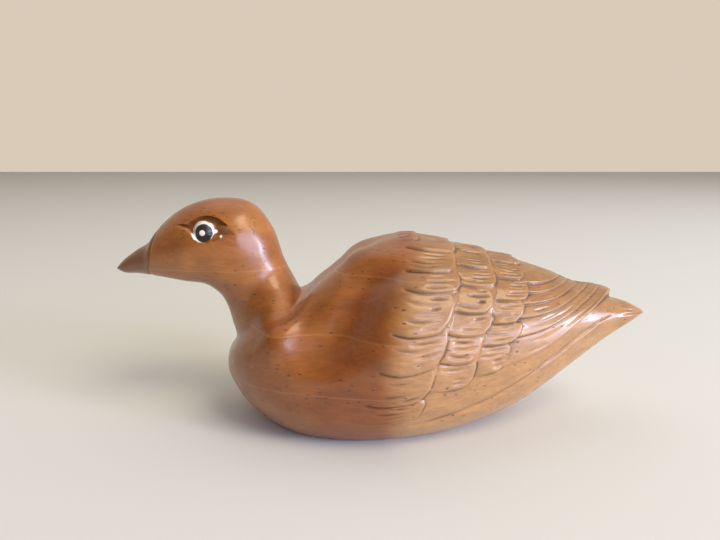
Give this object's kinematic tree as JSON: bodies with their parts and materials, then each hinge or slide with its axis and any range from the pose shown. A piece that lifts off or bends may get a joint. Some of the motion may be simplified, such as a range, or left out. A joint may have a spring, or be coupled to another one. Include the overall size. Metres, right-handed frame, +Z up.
{
  "type": "carved wooden duck",
  "caption": "Solid carved wooden duck with shingled wing feathers, dark stained beak and painted eyes, resting on a flat underside.",
  "frame": {"origin": "on the flat underside's plane, below the middle of the carving's length and width", "axes": "beak along -X, tail along +X, left flank along -Y, +Z up; the carving is mirrored about the XZ plane"},
  "size_m": [0.258, 0.104, 0.1081],
  "materials": {
    "carved_wood": "polished, warm orange brown stain"
  },
  "bodies": {
    "root": {"duck_carving": "carved_wood"}
  },
  "joints": []
}
